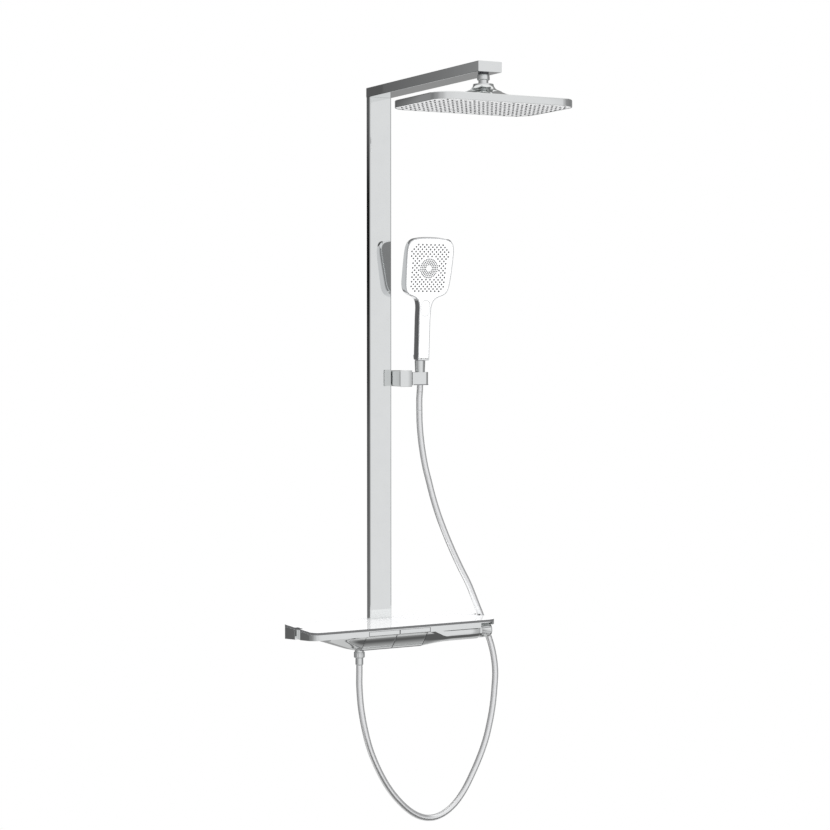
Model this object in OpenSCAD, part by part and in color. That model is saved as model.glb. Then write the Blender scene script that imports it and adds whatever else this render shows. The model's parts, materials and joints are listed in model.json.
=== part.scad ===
// Rainfall shower column: a wall-hung shelf mixer with two press paddles and a thermostat,
// a flat column with a top arm and a large overhead shower, and a hand shower on a side slider.
// Frame: millimetres, +Z up, the wall is the plane y = 0 and the room is towards -y.
// The origin is on the wall, midway between the two water inlets.

/* [Shelf] */
// Width of the shelf from end to end
shelf_w = 454; // [420:2:500]
// How far the shelf stands out from the wall
shelf_d = 150; // [140:1:165]
// Height of the shelf's top above the inlets
shelf_top = 24; // [22:1:28]
// Thickness of the white shelf plate
plate_t = 5; // [4:0.5:6]
// Radius of the shelf's two front corners
shelf_r = 20; // [10:1:25]
// Length along the end, and depth, of the hose notch in each shelf end
notch_l = 27; // [24:1:30]
notch_d = 8; // [7:0.5:9]

/* [Column and arm] */
// Width of the column and of the arm
col_w = 54; // [50:1:60]
// Depth of the column
col_d = 18.5; // [18:0.5:22]
// Height of the arm's underside above the inlets
arm_z = 1186; // [1000:1:1200]
// Thickness of the arm
arm_t = 21.4; // [20:0.2:26]
// How far the arm reaches from the wall
arm_l = 505; // [460:1:520]

/* [Overhead shower] */
// Width, depth, corner radius and edge height of the overhead shower
head_w = 320; // [280:2:340]
head_d = 220; // [200:2:240]
head_r = 41; // [30:1:50]
head_h = 15.3; // [13:0.1:18]
// Distance of the overhead shower's centre from the wall
head_y = 478; // [440:1:480]

/* [Mixer] */
// Distance between the two water inlets
inlet_gap = 150; // [150:1:150]
// Width of each press paddle and of the gap between neighbours
paddle_w = 75; // [60:1:75]
paddle_gap = 0.6; // [0.5:0.1:1]
// Left edge of the left paddle
paddle_x0 = -93.5; // [-94:0.5:-90]
// Radius of the thermostat's barrel and of its knob
barrel_r = 18; // [17:0.5:18]
knob_r = 16.5; // [15:0.5:17]

/* [Hand shower] */
// Height of the slider's middle above the inlets
slider_z = 562.6; // [560:0.2:566]
// Width of the hand shower's head at its widest
hand_w = 115; // [100:1:118]
// Diameter of the hose
hose_d = 14; // [13:0.5:15]

/* [Hidden] */
$fn = 64;
eps = 0.05;

// shelf
sx = shelf_w / 2;
plate_z = shelf_top - plate_t;
shelf_back = -2;
tray_front_z = 6.9;
tray_back_z = -7.8;
wall_t = 2.5;
skin_t = 1.8;
cap_w = 12;
notch_y0 = -82;
notch_y1 = notch_y0 + notch_l;
knob_x0 = 187;
knob_x1 = 219;

// column and arm
col_back = -3.7;
col_y = col_back - col_d / 2;
col_front = col_back - col_d;
rail_neck = 4;
rail_head = 8.4;
riser_r = 6.5;
arm_top = arm_z + arm_t;
arm_back = -4;
arm_wall = 2.4;
pipe_z = arm_z + arm_t / 2 - 0.2;

// overhead shower
hy = -head_y;
head_z = 1116.7;
head_top = head_z + head_h;
ball_z = 1152;
ball_r = 8;
bell_top = 1164.2;
collar_z = 1172.2;

// mixer
ix = inlet_gap / 2;
thread_r = 10.48;
core_x0 = -101;
core_x1 = 95;
barrel_x0 = 104;
core_front = -102;
barrel_y = -127;
barrel_z = -1.6;
rod_y = -145;
rod_z = 13;
pad_x = [paddle_x0, paddle_x0 + paddle_w + paddle_gap];
pads_x1 = pad_x[1] + paddle_w;
spout_x = -89;
spout_y = -92;
nut_z = -34;

// hand shower
cone_x = 84.7;
cone_y = -48.7;
block_z0 = slider_z - 15;
block_z1 = slider_z + 14;
handle_z = 602.6;
cone_end = 550;
cone_r = 11.9;
cone_slope = 0.038;
slider_x0 = col_w / 2 + 0.6;
slider_x1 = 57;
slider_front = -64.2;
face_lean = 10;
face_y = -82.8;
face_z = 761;

// the hose's route, from the hand shower's cone down to the mixer's outlet
hose_top_pts = [[84.7, -48.7, 550], [84.6, -48.9, 541], [84, -49, 532]];
hose_mid_pts = [[84, -49, 532], [83, -49, 518], [82.5, -49.5, 505], [82.5, -50, 490]];
hose_pts = [
    [82.5, -50, 490], [83, -50, 465], [85, -51, 435], [89, -52, 402], [95, -54, 366],
    [103, -56, 333], [112, -59, 296], [124, -61, 258], [139, -64, 218], [157, -66, 177],
    [177, -68, 136], [198, -70, 96], [214, -72, 58], [228, -73.5, 24], [241, -75, -10],
    [253, -76, -42], [261, -77, -76], [264, -78, -110], [262, -78, -145], [257, -79, -185],
    [249, -80, -222], [238, -81, -260], [223, -82, -296], [203, -83, -334], [180, -84, -371],
    [155, -85, -399], [127, -86, -417], [98, -87, -424], [68, -88, -419], [38, -89, -402],
    [8, -90, -374], [-18, -90, -341], [-42, -91, -300], [-62, -91, -254], [-76, -92, -206],
    [-85, -92, -158], [-89, -92, -112], [-89, -92, -80], [-89, -92, -62.5]
];

// rounded rectangle, centred
module rounded(w, h, r) {
    square([w - 2 * r, h], center = true);
    square([w, h - 2 * r], center = true);
    for (x = [-1, 1], y = [-1, 1])
        translate([x * (w / 2 - r), y * (h / 2 - r)]) circle(r);
}

// outline of the shelf seen from above, drawn in by inset
module shelf_plan(inset = 0) {
    r = shelf_r - inset;
    x = sx - inset;
    front = -shelf_d + inset;
    translate([-x, front + r]) square([2 * x, shelf_back - front - r]);
    translate([-x + r, front]) square([2 * (x - r), r + 1]);
    for (s = [-1, 1]) translate([s * (x - r), front + r]) circle(r);
}

// the hose notches at both ends, as one cutter
module notches() {
    for (s = [-1, 1])
        translate([s * sx - notch_d, notch_y0, -20]) cube([2 * notch_d, notch_l, 60]);
}

// a y-z outline carried along x from x0 to x1
module along_x(x0, x1) {
    translate([x0, 0, 0]) rotate([90, 0, 90]) linear_extrude(x1 - x0) children();
}

// a rod or bore along x
module x_rod(x0, x1, y, z, r) {
    translate([x0, y, z]) rotate([0, 90, 0]) cylinder(h = x1 - x0, r = r);
}

// a rod or bore along y
module y_rod(y0, y1, x, z, r) {
    translate([x, y0, z]) rotate([-90, 0, 0]) cylinder(h = y1 - y0, r = r);
}

// box between two corners
module box(a, b) {
    translate(a) cube(b - a);
}

// the wedge of the shelf's underside, as a y-z outline
module wedge(inset = 0) {
    polygon([
        [shelf_back - inset, plate_z + eps], [-shelf_d - 1, plate_z + eps],
        [-shelf_d - 1, tray_front_z + inset], [shelf_back - inset, tray_back_z + inset]
    ]);
}

// ---------------------------------------------------------------- wall fixings and inlets
module wall_plate() {
    color("silver") difference() {
        box([-55, -4, -12], [55, 0, 12]);
        for (x = [-35, 35]) y_rod(-5, 1, x, 0, 2.75);
    }
}

module inlet_union(x) {
    color("goldenrod") difference() {
        union() {
            y_rod(0, 14, x, 0, thread_r);
            y_rod(-6, 0, x, 0, 13);
            y_rod(-22, -6, x, 0, 10.2);
        }
        y_rod(-23, 15, x, 0, 7);
    }
}
module inlet_union_left() { inlet_union(-ix); }
module inlet_union_right() { inlet_union(ix); }

module union_nut(x) {
    color("silver") difference() {
        translate([x, -14, 0]) rotate([90, 30, 0]) cylinder(h = 16, r = 15, $fn = 6);
        y_rod(-31, -13, x, 0, 10.25);
    }
}
module union_nut_left() { union_nut(-ix); }
module union_nut_right() { union_nut(ix); }

module check_valves() {
    color("white") for (x = [-ix, ix]) difference() {
        y_rod(-20, -8, x, 0, 6.9);
        y_rod(-21, -7, x, 0, 3);
    }
}

// ---------------------------------------------------------------- mixer
// outline of the core's arm, which carries the thermostat, grown by gap
module core_arm(gap) {
    polygon([
        [core_front + 0.1 + 20 * gap, -14 - gap], [-117.4 - gap, -14 - gap],
        [-129 - gap, 0.2], [-134 - gap, 4.8], [-134 - gap, 12 + 20 * gap],
        [core_front + 0.1 + 20 * gap, 12 + 20 * gap]
    ]);
}

// its narrower tip, which stays clear of the core's own block
module core_tip() {
    polygon([[-105.5, -14], [-117.4, -14], [-129, 0.2], [-134, 4.8], [-134, 12], [-105.5, 12]]);
}

module mixer_core() {
    color("goldenrod") difference() {
        union() {
            box([core_x0, core_front, -14], [core_x1, -40, 14]);
            box([-16, -40 - eps, -12], [16, -4, 14]);
            for (x = [-ix, ix]) y_rod(-40 - eps, -22.2, x, 0, 10.2);
            along_x(64, core_x1 - 0.4) core_arm(0);
            along_x(core_x1 - 0.45, barrel_x0) core_tip();
            x_rod(barrel_x0 - eps, 178, barrel_y, barrel_z, 16);
        }
        for (x = [-ix, ix]) y_rod(-60, -22, x, 0, 7);
        for (x = pad_x) y_rod(core_front - eps, -78, x + paddle_w / 2, 1, 10);
        x_rod(110, 179, barrel_y, barrel_z, 13);
        translate([0, col_y, -6]) cylinder(h = 21, r = 5.5);
        translate([spout_x, spout_y, -15]) cylinder(h = 13, r = 7);
    }
}

module shutoff_cartridges() {
    color("dimgray") for (x = pad_x) {
        y_rod(-106, -79, x + paddle_w / 2, 1, 9.8);
        y_rod(-112, -106 + eps, x + paddle_w / 2, 1, 4);
    }
}

module thermostat_cartridge() {
    color("dimgray") {
        x_rod(112, 182, barrel_y, barrel_z, 12.8);
        x_rod(182 - eps, 204, barrel_y, barrel_z, 4);
    }
}

module thermostat_sleeve() {
    color("gainsboro") difference() {
        x_rod(barrel_x0, 186, barrel_y, barrel_z, barrel_r);
        x_rod(barrel_x0 - 1, 184.5, barrel_y, barrel_z, 16.3);
        x_rod(184, 187, barrel_y, barrel_z, 13.2);
    }
}

module temperature_knob() {
    color("gainsboro") difference() {
        x_rod(knob_x0, knob_x1, barrel_y, barrel_z, knob_r);
        x_rod(knob_x0 - 1, 204.4, barrel_y, barrel_z, 4.1);
        translate([(knob_x0 + knob_x1) / 2, barrel_y, barrel_z]) rotate([-45, 0, 0])
            translate([0, 0, -knob_r - 1]) cylinder(h = 8, r = 4.8);
    }
}

module safety_button() {
    color("silver") translate([(knob_x0 + knob_x1) / 2, barrel_y, barrel_z]) rotate([-45, 0, 0])
        translate([0, 0, -knob_r - 0.6]) cylinder(h = 5.4, r = 4.5);
}

// cross-section of a paddle: front lip, hollow grip, sloping face and rounded lower edge
module paddle_section() {
    polygon([
        [-shelf_d, 16.8], [-shelf_d, tray_front_z], [-141, 4.4], [-135.5, 2.4], [-131.5, -0.8],
        [-112.2, -25.5], [-109.8, -27.8], [-106.6, -28.9], [-106, -26.4], [-108.4, -25.5],
        [-110.4, -23.6], [-129.4, 0.8], [-134, 4.4], [-140, 6.8], [-147.5, 9], [-147.5, 16.8]
    ]);
}

module paddle(x) {
    color("gainsboro") difference() {
        union() {
            along_x(x, x + paddle_w) paddle_section();
            for (end = [x, x + paddle_w - 6]) {
                x_rod(end, end + 6, rod_y, rod_z, 3.2);
                along_x(end, end + 6) polygon([
                    [-147.6, 8.5], [-147.6, 14], [rod_y + 2, 11.4], [-138, 6]
                ]);
            }
        }
        x_rod(x - 1, x + paddle_w + 1, rod_y, rod_z, 1.56);
    }
}
module paddle_left() { paddle(pad_x[0]); }
module paddle_right() { paddle(pad_x[1]); }

module paddle_rod() {
    color("silver") x_rod(pad_x[0] - 6, pads_x1 + 6, rod_y, rod_z, 1.5);
}

// boat-shaped cover under the shelf: an outline seen from the side crossed with one from the front
module hull_side() {
    polygon([
        [-142, 6.1], [-138, 3.4], [-132.3, -0.4], [-112.2, -25.5], [-108.5, -28.7], [-102, -30.4],
        [-64, -33], [-52, -29], [-34, -12], [-27, -5.5]
    ]);
}
module hull_side_inner() {
    polygon([
        [-139, 12], [-135.8, 4.6], [-130.2, 0.8], [-110.4, -23.8], [-107.4, -26.3], [-101.8, -27.9],
        [-64.6, -30.4], [-53.6, -26.9], [-36, -10.4], [-30, 12]
    ]);
}
module hull_front() {
    polygon([
        [-188, 8], [-183, 1], [-170, -4], [-144, -15], [-112, -28.4], [-102, -31.5], [-90, -33],
        [78, -33], [92, -32.6], [103, -28.6], [116, -18], [129, -9.6], [143, -3.8], [150, 8]
    ]);
}
module hull_front_inner() {
    polygon([
        [-179, 12], [-178, 2], [-169, -1.3], [-143, -12.3], [-111, -25.7], [-101.5, -28.9],
        [-90, -30.4], [78, -30.4], [90.8, -30.1], [101.2, -26.7], [114.2, -16.1], [127.6, -7.4],
        [139, -2], [142, 12]
    ]);
}

module hull_cover() {
    color("gainsboro") difference() {
        intersection() {
            along_x(-190, 152) hull_side();
            rotate([90, 0, 0]) linear_extrude(shelf_d) hull_front();
        }
        intersection() {
            along_x(-190, 152) hull_side_inner();
            rotate([90, 0, 0]) linear_extrude(shelf_d) hull_front_inner();
        }
        along_x(-191, 153) wedge();
        box([pad_x[0] - 0.5, -160, -50], [pads_x1 + 0.5, -102.6, 20]);
        x_rod(barrel_x0 - 0.8, 200, barrel_y, barrel_z, barrel_r + 0.3);
        translate([spout_x, spout_y, -50]) cylinder(h = 40, r = 10.8);
        box([core_x0 - 0.3, -102.6, -14.3], [core_x1 + 0.3, -20, 20]);
        for (x = [-ix, ix]) y_rod(-45, 0, x, 0, 15.4);
        along_x(63.5, barrel_x0 + 0.2) core_arm(0.3);
    }
}

// ---------------------------------------------------------------- shelf
module shelf_plate() {
    color("white") difference() {
        translate([0, 0, plate_z]) linear_extrude(plate_t) shelf_plan();
        notches();
        translate([0, col_y, 0]) cylinder(h = 40, r = 7.2);
    }
}

module shelf_tray() {
    color("gainsboro") difference() {
        intersection() {
            along_x(-sx + cap_w, sx - cap_w) wedge();
            translate([0, 0, -20]) linear_extrude(60) shelf_plan();
        }
        difference() {
            intersection() {
                along_x(-sx, sx) wedge(wall_t);
                translate([0, 0, -20]) linear_extrude(60) shelf_plan(wall_t);
            }
            box([-sx, -shelf_d, plate_z - skin_t], [sx, 0, plate_z + 1]);
        }
        box([-sx, -shelf_d - 1, plate_z], [sx, 1, plate_z + 1]);
        // room for the paddles, the brass core and the inlets
        box([pad_x[0] - 0.3, -shelf_d - 1, -20], [pads_x1 + 0.3, -100, plate_z - skin_t]);
        box([core_x0 - 0.5, -shelf_d + wall_t, -20], [core_x1 + 0.5, -38, plate_z - skin_t]);
        box([-92, -40, -20], [92, 0, plate_z - skin_t]);
        // room for the thermostat and its knob
        box([94, -shelf_d + wall_t, -20], [sx, -105, plate_z - skin_t]);
        box([knob_x0 - 1.2, -shelf_d - 1, -20], [sx, -105, plate_z - skin_t]);
        translate([0, col_y, 0]) cylinder(h = 40, r = 7.2);
        x_rod(pad_x[0] - 6.2, pads_x1 + 6.2, rod_y, rod_z, 1.55);
    }
    color("gainsboro") for (x = [pad_x[0] - 5.3, pads_x1 + 0.4]) difference() {
        box([x, -shelf_d + wall_t - eps, 8], [x + 4.9, -139, plate_z - skin_t + eps]);
        x_rod(x - 1, x + 6, rod_y, rod_z, 1.55);
    }
}

module end_cap(s) {
    color("dimgray") difference() {
        intersection() {
            along_x(s > 0 ? sx - cap_w : -sx, s > 0 ? sx : -sx + cap_w) wedge();
            translate([0, 0, -20]) linear_extrude(20 + plate_z) shelf_plan();
        }
        notches();
        if (s > 0) {
            box([sx - cap_w - 1, -shelf_d - 1, -20], [sx + 1, -105, 12]);
            x_rod(sx - cap_w - 1, knob_x1 + 1, barrel_y, barrel_z, knob_r + 0.8);
        }
    }
}
module end_cap_left() { end_cap(-1); }
module end_cap_right() { end_cap(1); }

// ---------------------------------------------------------------- column
module column_profile() {
    color("gainsboro") translate([0, 0, shelf_top]) linear_extrude(arm_z - shelf_top) difference() {
        translate([0, col_y]) rounded(col_w, col_d, 3);
        translate([-4, col_y]) rounded(42, col_d - 4, 1.5);
        translate([24.4, col_y - rail_neck / 2]) square([4, rail_neck]);
        translate([20.2, col_y - rail_head / 2]) square([4.3, rail_head]);
    }
}

module column_block(z0, z1) {
    color("dimgray") translate([0, 0, z0]) linear_extrude(z1 - z0) difference() {
        translate([-4, col_y]) rounded(41.8, col_d - 4.2, 1.4);
        translate([0, col_y]) circle(riser_r + 0.1);
    }
}
module column_base_block() { column_block(shelf_top, shelf_top + 30); }
module column_top_block() { column_block(arm_z - 30, arm_z); }

module riser_pipe() {
    color("goldenrod") translate([0, col_y, 14]) difference() {
        cylinder(h = arm_z - 8, r = riser_r);
        translate([0, 0, -1]) cylinder(h = arm_z, r = riser_r - 1);
    }
}

module top_bracket() {
    color("gainsboro") difference() {
        box([-24, -3.6, 1144], [24, 0, arm_top]);
        for (z = [1158, 1192]) y_rod(-5, 1, 0, z, 2.75);
    }
}

// ---------------------------------------------------------------- arm
module arm_profile() {
    color("gainsboro") difference() {
        translate([0, arm_back, (arm_z + arm_top) / 2]) rotate([90, 0, 0])
            linear_extrude(arm_l + arm_back) rounded(col_w, arm_t, 1.5);
        box([-col_w / 2 + arm_wall, -arm_l + arm_wall, arm_z + arm_wall],
            [col_w / 2 - arm_wall, 1, arm_top - arm_wall]);
        translate([0, col_y, arm_z - 1]) cylinder(h = 6, r = 7.2);
        translate([0, hy, arm_z - 1]) cylinder(h = 6, r = 10.1);
    }
}

module arm_end_cap() {
    color("dimgray") box([-24.5, -6.2, arm_z + 2.5], [24.5, arm_back, arm_top - 2.5]);
}

module arm_elbow() {
    color("goldenrod") difference() {
        box([-12, -26, arm_z + 2.4], [12, -7.2, arm_top - 2.4]);
        translate([0, col_y, arm_z]) cylinder(h = 7, r = riser_r + 0.05);
        translate([0, col_y, arm_z + 5]) cylinder(h = 6, r = 5);
        y_rod(-27, col_y, 0, pipe_z, 5);
    }
}

module arm_pipe() {
    color("goldenrod") difference() {
        y_rod(hy + 14, -26, 0, pipe_z, 6);
        y_rod(hy + 13, -25, 0, pipe_z, 5);
    }
}

module arm_nipple_block() {
    color("goldenrod") difference() {
        box([-15, hy - 14, arm_z + 2.4], [15, hy + 14, arm_top - 2.4]);
        translate([0, hy, arm_z]) cylinder(h = 12, r = 10);
        y_rod(hy, hy + 15, 0, pipe_z, 5);
    }
}

module arm_screw_cap() {
    color("silver") translate([-12, -12, arm_top]) {
        cylinder(h = 1.6, r = 3.2);
        translate([0, 0, 1.6 - eps]) cylinder(h = 0.9, r1 = 3.2, r2 = 2.2);
    }
}

// ---------------------------------------------------------------- overhead shower
module collar_nut() {
    color("gainsboro") translate([0, hy, collar_z]) difference() {
        union() {
            cylinder(h = 1.6, r1 = 11.6, r2 = 13);
            translate([0, 0, 1.6 - eps]) cylinder(h = 10.9, r1 = 13, r2 = 12);
        }
        translate([0, 0, -1]) cylinder(h = 16, r = 9.95);
    }
}

module ball_stem() {
    color("silver") translate([0, hy, 0]) difference() {
        union() {
            translate([0, 0, ball_z]) sphere(ball_r);
            translate([0, 0, ball_z + 4]) cylinder(h = 12, r = 5);
            translate([0, 0, 1165.5]) cylinder(h = collar_z - 1165.5, r = 10.1);
            translate([0, 0, collar_z - eps]) cylinder(h = arm_z + 8 - collar_z, r = 9.9);
        }
        translate([0, 0, ball_z - 10]) cylinder(h = 60, r = 3);
    }
}

module ring(z, h, r_in, r_out) {
    translate([0, hy, z]) difference() {
        cylinder(h = h, r = r_out);
        translate([0, 0, -1]) cylinder(h = h + 2, r = r_in);
    }
}
module swivel_ring() { color("goldenrod") ring(1162, 1.2, 5.3, 8); }
module tilt_ring() { color("white") ring(1157.6, 1.4, 8.5, 11); }

module ball_socket() {
    color("dimgray") translate([0, hy, 0]) difference() {
        union() {
            translate([0, 0, 1138]) cylinder(h = 16.5, r = 12);
            translate([0, 0, 1129.6]) cylinder(h = 8.5, r = 15);
        }
        translate([0, 0, ball_z]) sphere(ball_r + 0.3);
        translate([0, 0, 1129]) cylinder(h = 20, r = 4);
    }
}

// the bell over the ball joint, running out into a shallow dome on the head
module head_bell() {
    color("gainsboro") translate([0, hy, 0]) rotate_extrude($fn = 96) polygon([
        [14.5, bell_top], [20.5, bell_top], [21.5, 1160], [24, 1156], [28, 1152.4], [36.3, 1149.3],
        [40, 1146.6], [52, 1141.6], [72, 1136.8], [90, 1133.4], [96, head_top], [91, head_top],
        [71, 1134.4], [50.4, 1139.4], [38.4, 1144.2], [35, 1147], [26, 1150], [21.8, 1154.6],
        [19, 1160], [17.4, 1161.6], [14.5, 1161.6]
    ]);
}

module head_shell() {
    color("gainsboro") translate([0, hy, 0]) difference() {
        translate([0, 0, head_z]) linear_extrude(head_h) rounded(head_w, head_d, head_r);
        translate([0, 0, head_z - 1]) linear_extrude(head_h - 0.8)
            rounded(head_w - 4, head_d - 4, head_r - 2);
        translate([0, 0, head_top - 5]) cylinder(h = 10, r = 40);
    }
}

module head_layer(z, h, inset) {
    translate([0, hy, z]) linear_extrude(h)
        rounded(head_w - 2 * inset, head_d - 2 * inset, head_r - inset);
}
module spray_plate() { color("white") head_layer(head_z + 0.5, 2.5, 2.1); }
module nozzle_mat() { color("darkgray") head_layer(head_z + 3, 2.2, 4); }
module water_chamber() {
    color("dimgray") head_layer(head_z + 5.2, 7.6, 5);
}

// ---------------------------------------------------------------- outlet and hose
module outlet_spout() {
    color("goldenrod") translate([spout_x, spout_y, -14]) difference() {
        translate([0, 0, -30]) cylinder(h = 30, r = 10.2);
        translate([0, 0, -31]) cylinder(h = 32, r = 6);
    }
}

module hose_nut() {
    color("gainsboro") translate([spout_x, spout_y, nut_z - 12.6]) difference() {
        cylinder(h = 12.6, r = 12);
        translate([0, 0, 2.4]) cylinder(h = 12, r = 10.25);
        translate([0, 0, -1]) cylinder(h = 5, r = 7);
    }
}

module hose_sleeve() {
    color("gainsboro") translate([spout_x, spout_y, nut_z - 28.5]) difference() {
        cylinder(h = 15.9, r = 8.6);
        translate([0, 0, -1]) cylinder(h = 18, r = 4);
    }
}

function unit(v) = v / norm(v);
// a smooth point between b and c on a curve through a, b, c and d
function curve(a, b, c, d, t) = 0.5 * (2 * b + (c - a) * t
    + (2 * a - 5 * b + 4 * c - d) * t * t + (3 * b - a - 3 * c + d) * t * t * t);

// a round tube through the points, with per rings for each stretch
module tube(pts, r, per = 1, sides = 10) {
    n = len(pts) - 1;
    path = [for (i = [0 : n - 1], k = [0 : per - 1])
        curve(pts[max(i - 1, 0)], pts[i], pts[i + 1], pts[min(i + 2, n)], k / per), pts[n]];
    m = len(path) - 1;
    rings = [for (i = [0 : m]) let (
        back = path[max(i - 1, 0)] - path[min(i + 1, m)],
        along = i == 0 || i == m ? [0, 0, sign(back[2])] : unit(back),
        side = unit(cross(along, [0, 1, 0])),
        up = cross(side, along)
    ) [for (k = [0 : sides - 1])
        path[i] + r * (cos(360 * k / sides) * side + sin(360 * k / sides) * up)]];
    polyhedron(
        points = [for (ring = rings) each ring],
        faces = [
            [for (k = [0 : sides - 1]) k],
            [for (k = [0 : sides - 1]) m * sides + sides - 1 - k],
            for (i = [0 : m - 1], k = [0 : sides - 1]) let (k2 = (k + 1) % sides)
                [i * sides + k2, i * sides + k, (i + 1) * sides + k, (i + 1) * sides + k2]
        ],
        convexity = 10
    );
}
module shower_hose() { color("silver") tube(hose_pts, hose_d / 2); }
module hose_mid() { color("silver") tube(hose_mid_pts, hose_d / 2); }
module hose_top() { color("silver") tube(hose_top_pts, hose_d / 2); }

// ---------------------------------------------------------------- slider and holder
// the cone's radius at height z
function cone_at(z) = cone_r - (handle_z - z) * cone_slope;

module cone_nut() {
    color("gainsboro") translate([cone_x, cone_y, cone_end]) difference() {
        cylinder(h = handle_z - 0.4 - cone_end, r1 = cone_at(cone_end), r2 = cone_r);
        translate([0, 0, 34]) cylinder(h = 20, r = 10.35);
        translate([0, 0, -1]) cylinder(h = 36, r = 5);
    }
}

module slider_body() {
    color("gainsboro") difference() {
        union() {
            translate([(slider_x0 + slider_x1) / 2, (slider_front - 6) / 2, slider_z - 18.3])
                linear_extrude(36.6) rounded(slider_x1 - slider_x0, -slider_front - 6, 3);
            translate([24, col_y - 1.7, slider_z - 16]) cube([5, 3.4, 32]);
            translate([20.6, col_y - 3.8, slider_z - 16]) cube([3.5, 7.6, 32]);
        }
        x_rod(44, slider_x1 + 1, cone_y, slider_z - 0.5, 6.02);
        translate([slider_x0 - 1, col_y - 9, slider_z - 6]) cube([8, 5, 12]);
    }
}

module slider_pad() {
    color("dimgray") translate([slider_x0 - 0.4, col_y - 8.8, slider_z - 5.8])
        cube([7, 4.6, 11.6]);
}

module holder_pivot() {
    color("silver") x_rod(44.5, 69, cone_y, slider_z - 0.5, 6);
}

module holder_block() {
    x0 = slider_x1 + 0.9;
    x1 = cone_x + 15.8;
    r = 9;
    color("gainsboro") difference() {
        translate([0, 0, block_z0]) linear_extrude(block_z1 - block_z0) union() {
            translate([x0, cone_y - 15.5]) square([x1 - x0 - r, 31]);
            translate([x0, cone_y - 15.5 + r]) square([x1 - x0, 31 - 2 * r]);
            for (s = [-1, 1]) translate([x1 - r, cone_y + s * (15.5 - r)]) circle(r);
        }
        translate([cone_x, cone_y, block_z0 - 1]) cylinder(
            h = block_z1 - block_z0 + 2, r1 = cone_at(block_z0 - 1) + 0.25,
            r2 = cone_at(block_z1 + 1) + 0.25);
        box([cone_x - 7.6, cone_y, block_z0 - 1], [cone_x + 7.6, cone_y + 20, block_z1 + 1]);
        x_rod(x0 - 1, 69.4, cone_y, slider_z - 0.5, 6.06);
    }
}

// ---------------------------------------------------------------- hand shower
// moves its children to the hand shower's face: x to the right, y out of the back, z up the face
module on_face() {
    translate([cone_x, face_y, face_z]) rotate([face_lean, 0, 0]) children();
}

// four studs at the face's corners, from the face back to depth top and depth bottom
module face_studs(inset, top, bottom, from = 0) {
    r = 15 - inset;
    hull() {
        for (s = [-1, 1]) {
            translate([s * (hand_w / 2 - 15), from, 100]) rotate([-90, 0, 0])
                cylinder(h = top, r = r, $fn = 32);
            translate([s * (hand_w / 2 - 18), from, 4]) rotate([-90, 0, 0])
                cylinder(h = bottom, r = r, $fn = 32);
        }
    }
}

// a slice across the handle
module handle_slice(y, z, w, t) {
    translate([cone_x, y, z]) linear_extrude(1) rounded(w, t, 9);
}

module stadium(w, h, t) {
    rotate([-90, 0, 0]) linear_extrude(t) {
        square([w, h - w], center = true);
        for (s = [-1, 1]) translate([0, s * (h - w) / 2]) circle(w / 2);
    }
}

module handset_shell() {
    color("gainsboro") difference() {
        union() {
            hull() {
                handle_slice(-51.5, handle_z, 28, 30);
                handle_slice(-57, 700, 29, 29.5);
            }
            hull() {
                handle_slice(-57, 700, 29, 29.5);
                handle_slice(-67, 752, 42, 29);
            }
            on_face() face_studs(0, 17, 27);
        }
        on_face() translate([0, -1, 0]) face_studs(1.2, 6, 6);
        translate([cone_x, cone_y, handle_z - 1]) cylinder(h = 24, r = 10.3);
        translate([cone_x, cone_y, handle_z + 20]) rotate([4.5, 0, 0]) cylinder(h = 122, r = 7.2);
        translate([cone_x, -80, 719]) stadium(20.6, 35.6, 14);
    }
}

module handset_face() {
    color("white") on_face() translate([0, 0.2, 0]) face_studs(1.4, 2.4, 2.4);
}

module handset_mat() {
    color("darkgray") on_face() translate([0, 2.6, 0]) face_studs(3, 2.2, 2.2);
}

module handset_valve() {
    color("dimgray") translate([cone_x, cone_y, handle_z + 20]) rotate([4.5, 0, 0])
        translate([0, 0, 82]) cylinder(h = 30, r = 6.9);
}

module handset_spigot() {
    color("goldenrod") translate([cone_x, cone_y, 586]) difference() {
        cylinder(h = 38, r = 10.25);
        translate([0, 0, -1]) cylinder(h = 40, r = 6);
    }
}

module select_button() {
    color("white") translate([cone_x, -75.4, 719]) stadium(20, 35, 4);
}

wall_plate();
inlet_union_left();
inlet_union_right();
union_nut_left();
union_nut_right();
check_valves();
mixer_core();
shutoff_cartridges();
thermostat_cartridge();
thermostat_sleeve();
temperature_knob();
safety_button();
paddle_left();
paddle_right();
paddle_rod();
hull_cover();
shelf_plate();
shelf_tray();
end_cap_left();
end_cap_right();
column_profile();
column_base_block();
column_top_block();
riser_pipe();
top_bracket();
arm_profile();
arm_end_cap();
arm_elbow();
arm_pipe();
arm_nipple_block();
arm_screw_cap();
collar_nut();
ball_stem();
swivel_ring();
tilt_ring();
ball_socket();
head_bell();
head_shell();
water_chamber();
nozzle_mat();
spray_plate();
outlet_spout();
hose_nut();
hose_sleeve();
shower_hose();
hose_mid();
hose_top();
cone_nut();
slider_body();
slider_pad();
holder_pivot();
holder_block();
handset_shell();
handset_face();
handset_mat();
handset_valve();
handset_spigot();
select_button();
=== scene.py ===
"""Rainfall shower column: the looks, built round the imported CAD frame.
Metres, in the row frame: +Z up, the wall is y = 0 and the room is towards -y."""
import json
import math

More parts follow.
